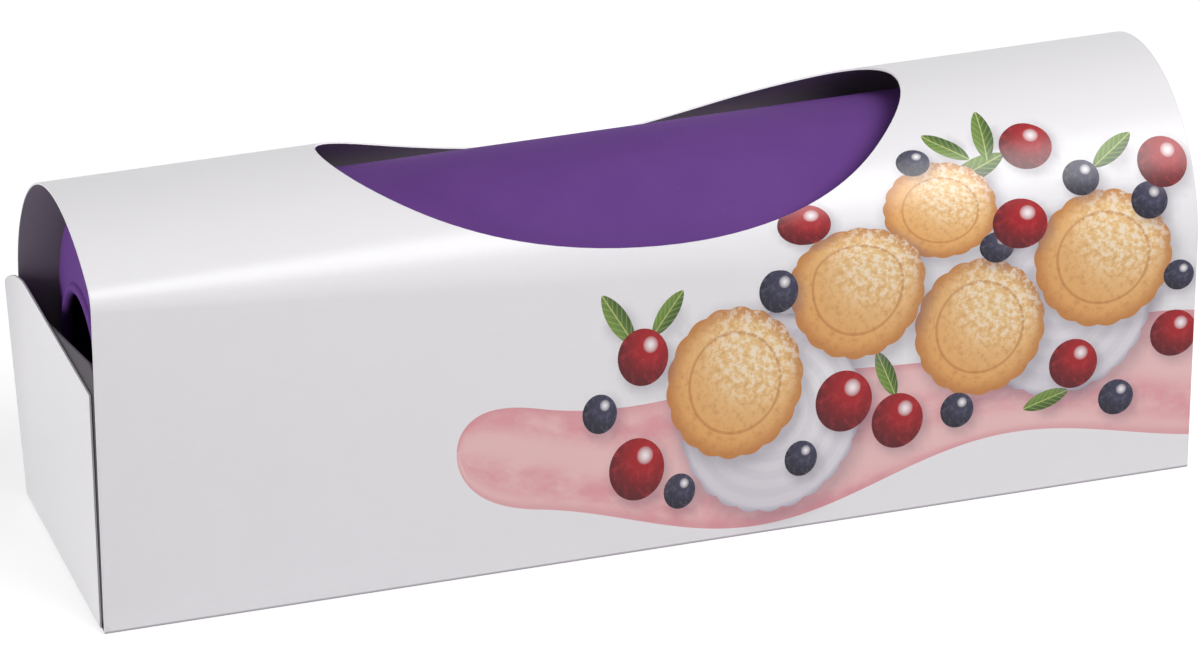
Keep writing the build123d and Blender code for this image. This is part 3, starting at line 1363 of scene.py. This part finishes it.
@dataclass
class WrapSheet(BentBoard):
    """Wraparound panel: front wall, arched top with the window and rear wall, in one sheet."""

    board: float = 0.6
    length: float = 356.0
    depth: float = 98.8
    right_spring: float = 78.0
    crown_height: float = 126.5
    crown_shift: float = 6.4
    front_radius: float = 9.3
    front_lift: float = 10.6
    rear_reach: float = 12.1
    rear_lift: float = 7.3
    window_length: float = 188.0
    window_reach: float = 96.8
    window_front: tuple[Point2, ...] = (
        (0.088, 0.379),
        (0.266, 0.739),
        (0.57, 1.0),
        (0.804, 0.668),
        (0.936, 0.307),
    )
    window_rear: tuple[Point2, ...] = (
        (0.09, 0.35),
        (0.25, 0.69),
        (0.48, 0.97),
        (0.66, 0.75),
        (0.80, 0.48),
        (0.936, 0.25),
    )
    window_steps: int = 9
    search_steps: int = 40
    search_margin: float = 2.0
    grid: float = 2.5
    probe: float = 1.0
    girth_probe: float = 0.05
    touch: float = 1e-9
    design: PrintedDesign = field(default_factory=PrintedDesign)

    def __post_init__(self) -> None:
        """Work out the end sections' arcs and where each part of the girth ends."""
        half = self.depth / 2
        front = self._haunch(half - self.crown_shift, self.front_radius, self.front_lift)
        rear_span = half + self.crown_shift
        rear = self._haunch(rear_span, rear_span - self.rear_reach, self.rear_lift)
        self.left = EndSection(front, rear, (-self.crown_shift, self.crown_height), half)
        rounds = (
            Haunch(self.right_spring, half, half, side.meeting_angle) for side in (front, rear)
        )
        self.right = EndSection(*rounds, (0.0, self.right_spring + half), half)
        meetings = (front.meeting_angle, QUARTER - front.meeting_angle)
        meetings += (QUARTER - rear.meeting_angle, rear.meeting_angle)
        self.marks = [0.0]
        for part in (self.right_spring, *(half * angle for angle in meetings), self.right_spring):
            self.marks.append(self.marks[-1] + part)
        self.girth = self.marks[-1]

    def _haunch(self, span: float, radius: float, lift: float) -> Haunch:
        """Arcs of one side of the left end.

        Args:
            span: Distance of the wall from the crown.
            radius: Radius of the wall-side arc.
            lift: How far the crown stands above a quarter round of that radius.

        Returns:
            The side's arcs.
        """
        rise, run = radius + lift, span - radius
        crown_radius = (run**2 + rise**2 - radius**2) / (2 * lift)
        meeting_angle = math.atan2(crown_radius - rise, run)
        return Haunch(self.crown_height - rise, radius, crown_radius, meeting_angle)

    def point(self, x: float, s: float, inset: float = 0.0) -> Point3:
        """Point of the sheet.

        Args:
            x: Place along the carton.
            s: Girth from the front foot, as measured at the right end.
            inset: Depth below the outer face.

        Returns:
            The point in millimetres.
        """
        last = len(self.marks) - 2
        part = min(sum(s > mark + self.touch for mark in self.marks[1:]), last)
        share = (s - self.marks[part]) / (self.marks[part + 1] - self.marks[part])
        (ly, lz), (ry, rz) = (end.point(part, share, inset) for end in (self.left, self.right))
        along = x / self.length + 0.5
        return x, ly + (ry - ly) * along, lz + (rz - lz) * along

    def normal(self, x: float, s: float) -> Vector:
        """Outward direction of the sheet at a place.

        Args:
            x: Place along the carton.
            s: Girth from the front foot.

        Returns:
            The direction.
        """
        step = self.girth_probe
        here = max(step, min(self.girth - step, s))
        along = Vector(self.point(x + self.probe, here)) - Vector(self.point(x - self.probe, here))
        around = Vector(self.point(x, here + step)) - Vector(self.point(x, here - step))
        return around.cross(along).normalized()

    def window_outline(self) -> list[Point2]:
        """The window's outline on the sheet, where rays from the arch's axis meet it.

        Returns:
            Places on the sheet.
        """
        half = self.window_length / 2
        lines = []
        for face, shares in ((-1.0, self.window_front), (1.0, self.window_rear)):
            knots = [
                ((x - 0.5) * self.window_length, face * y * self.window_reach) for x, y in shares
            ]
            knots = [(-half, 0.0), *knots, (half, 0.0)]
            lines.append(smooth_line(knots, ((0.0, face), (0.0, -face)), self.window_steps))
        front, rear = lines
        places = front + rear[-2:0:-1]
        return [(x, self._meet_ray(x, y / (self.depth / 2))) for x, y in places]

    def _meet_ray(self, x: float, slope: float) -> float:
        """Girth at which a ray from the arch's axis meets the sheet.

        Args:
            x: Place along the carton.
            slope: The ray's y for each unit of its rise.

        Returns:
            The girth.
        """
        low, high = self.marks[1] + self.search_margin, self.marks[-2] - self.search_margin
        for _ in range(self.search_steps):
            middle = (low + high) / 2
            _, y, z = self.point(x, middle)
            if y < slope * (z - self.right_spring):
                low = middle
            else:
                high = middle
        return (low + high) / 2

    def build(self, finishes: Sequence[bpy.types.Material]) -> bpy.types.Object:
        """Make the sheet with its window and its inlaid print.

        Args:
            finishes: Materials of its sides and inks.

        Returns:
            The piece.
        """
        half = self.length / 2
        columns = np.linspace(-half, half, round(self.length / self.grid) + 1).tolist()
        rows: list[float] = []
        for start, stop in zip(self.marks, self.marks[1:]):
            count = max(1, round((stop - start) / self.grid))
            rows += np.linspace(start, stop, count + 1)[:-1].tolist()
        rows.append(self.girth)
        rim = [(x, 0.0) for x in columns[:-1]]
        rim += [(half, s) for s in rows[:-1]]
        rim += [(x, self.girth) for x in columns[:0:-1]]
        rim += [(-half, s) for s in rows[:0:-1]]
        inner = np.array([(x, s) for x in columns[1:-1] for s in rows[1:-1]])
        shapes = self.design.shapes(half)
        flat = mesh_flat(rim, [self.window_outline()], inner, shapes, self.grid)
        return self.bend("wrap_sheet", flat, shapes, finishes)


@dataclass
class EndPanel(BentBoard):
    """End panel at one end: upright, with a rounded rear corner that curls outwards."""

    side: int
    board: float = 0.6
    height: float = 78.5
    foot: float = 0.7
    half_length: float = 178.0
    front: float = -46.4
    rear: float = 49.0
    front_slant: float = 1.0
    lean: float = 0.2
    curl: float = 3.8
    curl_start: float = 36.0
    corner: float = 4.0
    corner_steps: int = 8
    grid: float = 2.4
    probe: float = 0.2

    def point(self, u: float, v: float, inset: float = 0.0) -> Point3:
        """Point of the panel.

        Args:
            u: y of the place.
            v: Height of the place.
            inset: Depth below the outer face.

        Returns:
            The point in millimetres.
        """
        bend = max(0.0, (u - self.curl_start) / (self.rear - self.curl_start))
        out = (self.lean + self.curl * bend**3) * (v - self.foot) / (self.height - self.foot)
        return self.side * (self.half_length + self.board - inset + out), u, v

    def normal(self, u: float, v: float) -> Vector:
        """Direction out of the outer face at a flat place.

        Args:
            u: y of the place.
            v: Height of the place.

        Returns:
            The direction.
        """
        step = self.probe
        across = Vector(self.point(u + step, v)) - Vector(self.point(u - step, v))
        upward = Vector(self.point(u, v + step)) - Vector(self.point(u, v - step))
        direction = across.cross(upward).normalized()
        return direction if direction.x * self.side > 0 else -direction

    def build(self, name: str, finishes: Sequence[bpy.types.Material]) -> bpy.types.Object:
        """Make the panel.

        Args:
            name: Name of the piece.
            finishes: Materials of its sides.

        Returns:
            The piece.
        """
        corners: list[Point2] = [(self.front, self.foot), (self.rear, self.foot)]
        y, z = self.rear - self.corner, self.height - self.corner
        for step in range(self.corner_steps + 1):
            angle = QUARTER * step / self.corner_steps
            corners.append((y + self.corner * math.cos(angle), z + self.corner * math.sin(angle)))
        corners.append((self.front + self.front_slant, self.height))
        outline = subdivide(corners, self.grid)
        ys = np.arange(self.front, self.rear, self.grid)
        zs = np.arange(self.foot, self.height, self.grid)
        inner = np.array([(y, z) for y in ys for z in zs])
        inner = inner[inside_outline(inner, outline)]
        return self.bend(name, mesh_flat(outline, [], inner, [], self.grid), [], finishes)


def place_piece(piece: bpy.types.Object, body: str, node: str) -> None:
    """Let a piece ride on a body in a CAD piece's place.

    Args:
        piece: The piece.
        body: Body that it rides on.
        node: CAD piece that it stands for.
    """
    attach(piece, body)
    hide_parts(node)
    log.info("%s: %d faces", piece.name, len(piece.data.polygons))


def dress_node(node: bpy.types.Object, material: bpy.types.Material) -> None:
    """Give a CAD piece its finish.

    Args:
        node: The CAD piece.
        material: Its material.
    """
    if not node.material_slots:
        node.data.materials.append(material)
    for slot in node.material_slots:
        slot.material = material
    log.info("%s: finish %s", node.name, material.name)


@dataclass
class DisplayCarton:
    """Paperboard carton: the printed wraparound panel and the flat panels and flaps."""

    effects: SharedEffects
    sheet: WrapSheet = field(default_factory=WrapSheet)
    coated: SheetFinish = SheetFinish(
        "coated_white", (0.80, 0.785, 0.81), 0.34, worn=True, printed=True
    )
    # The inside's grey is seen only in shade, so how light the real board is isn't known; its
    # slight purple tint is a painted reflection of the purple pan's bounce light.
    inside: SheetFinish = SheetFinish(
        "plain_inside", (0.40, 0.358, 0.396), 0.7, Stock(0.06, 0.08, 0.5)
    )
    cut: SheetFinish = SheetFinish("cut_edge", (0.88, 0.86, 0.88), 0.75, Stock(0.04, 0.1, 0.6))
    # The dust flaps' colour and their cut edges' colour are painted shade: near-black grey standing
    # for the deep shade the flaps lie in behind the end panels, not the board's own colours.
    flap: Color = (0.048, 0.040, 0.050)
    flap_cut_painted_shade: Color = (0.17, 0.15, 0.17)
    flap_roughness: float = 0.7
    inks: tuple[InkFinish, ...] = (
        InkFinish(Motif.RIBBON, (0.72, 0.33, 0.36), (0.80, 0.50, 0.50), (0.62, 0.24, 0.28)),
        InkFinish(Motif.DOILY, (0.66, 0.63, 0.68), (0.82, 0.80, 0.83), (0.45, 0.42, 0.50)),
        InkFinish(Motif.BISCUIT, (0.72, 0.36, 0.12), (0.84, 0.58, 0.28), (0.46, 0.17, 0.045)),
        InkFinish(Motif.CHERRY, (0.38, 0.008, 0.014), (0.52, 0.040, 0.050), (0.09, 0.002, 0.006)),
        InkFinish(Motif.PEARL, (0.040, 0.038, 0.080), (0.15, 0.15, 0.22), (0.009, 0.007, 0.018)),
        InkFinish(Motif.LEAF, (0.16, 0.26, 0.05), (0.42, 0.50, 0.16), (0.05, 0.10, 0.02)),
    )

    def make(self, nodes: dict[str, bpy.types.Object]) -> None:
        """Build the wraparound panel and the end panels, and dress the flat pieces.

        Args:
            nodes: CAD pieces by name.
        """
        board = [face.make(self.effects) for face in (self.coated, self.inside, self.cut)]
        inks = [ink.make(self.effects) for ink in self.inks]
        wrap = self.sheet.build(board + inks)
        place_piece(wrap, Body.CARTON.value, "wrap_panel")
        ends = {"left": -1, "right": 1}
        for end, side in ends.items():
            panel = EndPanel(side).build(f"{end}_end_sheet", board)
            place_piece(panel, f"{end}_end", f"{end}_end_panel")
        white = (self.coated.color, self.inside.color)
        # Dust flaps: painted shade on both faces and on the cut edges, in place of the board's own
        # colours.
        dark = (self.flap, self.flap, self.flap_cut_painted_shade, self.flap_roughness)
        panels = [("bottom_panel", (0.0, 0.0, -1.0), white), ("seam_flap", (0.0, 1.0, 0.0), white)]
        for end, side in ends.items():
            for wall in ("front", "rear"):
                panels.append((f"{end}_{wall}_dust_flap", (float(side), 0.0, 0.0), dark))
        for name, outward, look in panels:
            finish = BoardFinish(f"board_{name}", outward, *look)
            dress_node(nodes[name], finish.make(self.effects))


@dataclass(frozen=True)
class ArchStation:
    """One cross-section of a skin of the curled pan: a half round on two legs with curved feet."""

    x: float
    spring: float
    edge: float
    foot_edge: float


@dataclass
class CurledPan:
    """Silicone pan, curled base outwards in the carton, with a bead all round its rim."""

    effects: SharedEffects
    thickness: float = 2.0
    half_width: float = 48.1
    foot: float = 0.9
    left_spring: float = 67.7
    right_spring: float = 70.3
    rim_x: float = 170.1
    depth: float = 25.4
    draft: float = 10.0
    corner_radius: float = 5.0
    knee: float = 40.0
    leg_bow: float = 4.2
    bead_radius: float = 1.8
    bead_corner: float = 4.0
    bead_corner_steps: int = 6
    bead_corner_gap: float = 40.0
    bead_facets: int = 5
    shell_foot: float = 2.0
    corner_steps: int = 9
    wall_steps: int = 6
    length_steps: int = 48
    foot_steps: int = 10
    leg_steps: int = 6
    round_steps: int = 72

    def __post_init__(self) -> None:
        """Work out how far the base reaches, from the end walls' draft."""
        self.base_x = self.rim_x - self.depth * math.tan(math.radians(self.draft))

    def make(self) -> None:
        """Build the pan's shell and its bead."""
        silicone = SiliconeFinish().make(self.effects)
        for piece in (self._shell(silicone), self._bead(silicone)):
            place_piece(piece, Body.PAN.value, "silicone_pan")

    def _spring(self, x: float) -> float:
        """Spring height of the arch at x."""
        share = max(0.0, min(1.0, x / (2 * self.base_x) + 0.5))
        return self.left_spring + (self.right_spring - self.left_spring) * share

    def _stations(self, inset: float) -> list[ArchStation]:
        """Sections of one skin from the left mouth to the right one.

        Args:
            inset: Depth below the outer skin.

        Returns:
            The sections.
        """
        draft = math.radians(self.draft)
        turn = QUARTER - draft
        corner_x = self.base_x - self.corner_radius * math.tan(turn / 2)
        radius = self.corner_radius - inset
        half: list[Point3] = []
        for step in range(self.corner_steps + 1):
            angle = turn * step / self.corner_steps
            edge = self.half_width - self.corner_radius + radius * math.cos(angle)
            half.append((corner_x + radius * math.sin(angle), edge, edge - self.leg_bow))
        last = half[-1]
        lip = (
            self.rim_x - inset / math.cos(draft),
            self.half_width - self.depth - self.thickness / 2 + inset,
            self.half_width - self.leg_bow - self.thickness + inset,
        )
        for step in range(1, self.wall_steps + 1):
            share = step / self.wall_steps
            half.append(tuple(a + (b - a) * share for a, b in zip(last, lip)))
        xs = np.linspace(-corner_x, corner_x, self.length_steps + 1)[1:-1].tolist()
        left = [(-x, edge, foot_edge) for x, edge, foot_edge in half[::-1]]
        sizes = left + [(x, *half[0][1:]) for x in xs] + half
        return [ArchStation(x, self._spring(x), edge, foot_edge) for x, edge, foot_edge in sizes]

    def _section(self, station: ArchStation, foot: float) -> list[Point3]:
        """Points of one section from the front foot to the rear foot.

        Args:
            station: The section.
            foot: Height at which its legs end.

        Returns:
            The points.
        """
        edge, spring = station.edge, station.spring
        bow = edge - station.foot_edge
        radius = (bow**2 + (self.knee - self.foot) ** 2) / (2 * bow)
        leg: list[Point2] = []
        for step in range(self.foot_steps):
            z = foot + (self.knee - foot) * step / self.foot_steps
            side = math.copysign(math.sqrt(radius**2 - (self.knee - z) ** 2), radius)
            leg.append((edge - radius + side, z))
        for step in range(self.leg_steps):
            leg.append((edge, self.knee + (spring - self.knee) * step / self.leg_steps))
        arch = []
        for step in range(self.round_steps + 1):
            angle = math.pi * (1 - step / self.round_steps)
            arch.append((edge * math.cos(angle), spring + edge * math.sin(angle)))
        line = [(-y, z) for y, z in leg] + arch + leg[::-1]
        return [(station.x, y, z) for y, z in line]

    def _shell(self, silicone: bpy.types.Material) -> bpy.types.Object:
        """Build base, long walls and end walls as one closed shell.

        Args:
            silicone: Its finish.

        Returns:
            The piece.
        """
        points: list[Point3] = []
        for inset in (0.0, self.thickness):
            sections = [self._section(s, self.shell_foot) for s in self._stations(inset)]
            points += [point for section in sections for point in section]
        rows, columns = len(sections), len(sections[0])
        outer: list[Face] = []
        for row in range(rows - 1):
            for corner in range(row * columns, (row + 1) * columns - 1):
                outer.append((corner, corner + 1, corner + 1 + columns, corner + columns))
        inner, rim = close_sheet(outer, rows * columns)
        return new_piece("pan_shell", points, outer + inner + rim, [silicone])

    def _bead_line(self) -> list[Vector]:
        """Closed line of the bead along the rim, with rounded corners.

        Returns:
            Points of the line.
        """
        x = self.rim_x - self.thickness / 2
        edge = self.half_width - self.depth
        foot_edge = self.half_width - self.leg_bow - self.thickness / 2
        path: list[Vector] = []
        for side in (-1, 1):
            station = ArchStation(side * x, self._spring(side * x), edge, foot_edge)
            section = self._section(station, self.foot + self.bead_radius)
            path += [Vector(point) for point in section[::-side]]
        line: list[Vector] = []
        for before, corner, after in zip([path[-1], *path], path, [*path[1:], path[0]]):
            if (after - before).length < self.bead_corner_gap:
                line.append(corner)
                continue
            ends = []
            for end in (before, after):
                run = end - corner
                reach = min(self.bead_corner, run.length * 0.5)
                ends.append(corner + run.normalized() * reach)
            start, stop = ends
            for step in range(self.bead_corner_steps + 1):
                t = step / self.bead_corner_steps
                line.append(start * (1 - t) ** 2 + corner * 2 * t * (1 - t) + stop * t**2)
        return line

    def _bead(self, silicone: bpy.types.Material) -> bpy.types.Object:
        """Build the round bead along the rim.

        Args:
            silicone: Its finish.

        Returns:
            The piece.
        """
        places = self._bead_line()
        curve = bpy.data.curves.new("bead_guide", "CURVE")
        curve.dimensions = "3D"
        curve.bevel_depth = self.bead_radius * MM
        curve.bevel_resolution = self.bead_facets
        line = curve.splines.new("POLY")
        line.points.add(len(places) - 1)
        for point, place in zip(line.points, places):
            point.co = (*(place * MM), 1.0)
        line.use_cyclic_u = True
        guide = bpy.data.objects.new("bead_guide", curve)
        bpy.context.scene.collection.objects.link(guide)
        graph = bpy.context.evaluated_depsgraph_get()
        mesh = bpy.data.meshes.new_from_object(guide.evaluated_get(graph))
        bpy.data.objects.remove(guide)
        bpy.data.curves.remove(curve)
        mesh.name = "pan_rim_bead"
        return link_piece(mesh, [silicone])


# ---------------------------------------------------------------------------------------------
# Studio
# ---------------------------------------------------------------------------------------------


@dataclass(frozen=True)
class Lamp:
    """Soft lamp: where it hangs, where it points, its width and height, and its watts."""

    name: str
    place: Point3
    target: Point3
    size: Point2
    power: float

    def hang(self) -> None:
        """Add the lamp to the scene."""
        data = bpy.data.lights.new(self.name, "AREA")
        data.shape = "RECTANGLE"
        data.size, data.size_y = self.size
        data.energy = self.power
        lamp = bpy.data.objects.new(self.name, data)
        lamp.location = self.place
        aim = Vector(self.target) - Vector(self.place)
        lamp.rotation_euler = aim.to_track_quat("-Z", "Y").to_euler()
        bpy.context.scene.collection.objects.link(lamp)


@dataclass
class Studio:
    """Pale floor, soft lamps and the camera. Places are in metres."""

    camera_place: Point3 = (-0.53508, -1.59677, 0.84703)
    camera_view: Point3 = (0.28580, 0.85840, -0.42599)
    camera_roll: float = -0.071
    lens: float = 177.6
    sensor: float = 36.0
    sight: float = 50.0
    floor_size: float = 6.0
    floor_drop: float = 0.0003
    floor_colors: tuple[Color, Color] = ((0.47, 0.47, 0.475), (0.49, 0.49, 0.495))
    floor_tone: Grain = Grain(3.0, 3.0, 0.55)
    floor_roughness: float = 0.8
    floor_glow: float = 0.68
    fill: float = 0.17
    lamps: tuple[Lamp, ...] = (
        Lamp("key_softbox", (0.7, -1.25, 1.5), (0.0, 0.0, 0.1), (1.4, 1.1), 36.0),
        Lamp("left_softbox", (-1.95, -0.12, 0.38), (0.0, 0.0, 0.05), (1.2, 1.0), 24.0),
        Lamp("rear_softbox", (1.8, 1.15, 0.25), (0.0, 0.0, 0.08), (1.0, 0.5), 18.0),
    )

    def make(self) -> None:
        """Set up floor, light and camera."""
        self._floor()
        self._world()
        for lamp in self.lamps:
            lamp.hang()
        self._camera()
        bpy.context.scene.view_settings.view_transform = "Standard"

    @staticmethod
    def _backdrop_rays(sheet: ShaderSheet) -> Output:
        """Mask of the rays that meet the white backdrop: the camera's, and those in gloss or glass.

        Args:
            sheet: Node sheet of the floor or of the world.

        Returns:
            The mask's socket.
        """
        path = sheet.node("ShaderNodeLightPath").outputs
        mirrored = sheet.math("MAXIMUM", path["Is Glossy Ray"], path["Is Transmission Ray"])
        return sheet.math("MAXIMUM", path["Is Camera Ray"], mirrored)

    def _floor(self) -> None:
        """Lay the pale floor."""
        half, z = self.floor_size / 2 / MM, -self.floor_drop / MM
        sheet = MaterialSheet("pale_floor")
        tone = sheet.noise(sheet.position(), self.floor_tone)
        glow = sheet.math("MULTIPLY", self._backdrop_rays(sheet), self.floor_glow)
        inputs = {
            "Base Color": sheet.coat(*self.floor_colors, tone),
            "Roughness": self.floor_roughness,
            "Specular IOR Level": 0.0,
            "Emission Color": WHITE,
            "Emission Strength": glow,
        }
        sheet.feed(sheet.shader, inputs)
        corners = [(-half, -half, z), (half, -half, z), (half, half, z), (-half, half, z)]
        new_piece("studio_floor", corners, [(0, 1, 2, 3)], [sheet.material])

    def _world(self) -> None:
        """Fill light from all round, and white behind everything the camera sees."""
        world = bpy.data.worlds.new("studio")
        world.use_nodes = True
        world.node_tree.nodes.clear()
        sheet = ShaderSheet(world.node_tree)
        rays = self._backdrop_rays(sheet)
        strength = sheet.math("MULTIPLY_ADD", rays, 1.0 - self.fill, self.fill)
        back = sheet.node("ShaderNodeBackground", {"Color": WHITE, "Strength": strength})
        sheet.node("ShaderNodeOutputWorld", {"Surface": back.outputs["Background"]})
        bpy.context.scene.world = world

    def _camera(self) -> None:
        """Place the camera at the photograph's viewing angle."""
        data = bpy.data.cameras.new("camera")
        data.sensor_fit = "HORIZONTAL"
        data.sensor_width = self.sensor
        data.lens = self.lens
        data.clip_end = self.sight
        camera = bpy.data.objects.new("camera", data)
        turn = Vector(self.camera_view).to_track_quat("-Z", "Y")
        roll = Quaternion((0.0, 0.0, 1.0), math.radians(self.camera_roll))
        place = Matrix.Translation(self.camera_place)
        camera.matrix_world = place @ (turn @ roll).to_matrix().to_4x4()
        bpy.context.scene.collection.objects.link(camera)
        bpy.context.scene.camera = camera


def main() -> None:
    """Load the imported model, build every piece and report it."""
    logging.basicConfig(level=logging.INFO, format="%(name)s: %(message)s")
    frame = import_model()
    effects = SharedEffects()
    DisplayCarton(effects).make(frame["nodes"])
    CurledPan(effects).make()
    Studio().make()
    log.info("boxes written")


if __name__ == "__main__":
    main()
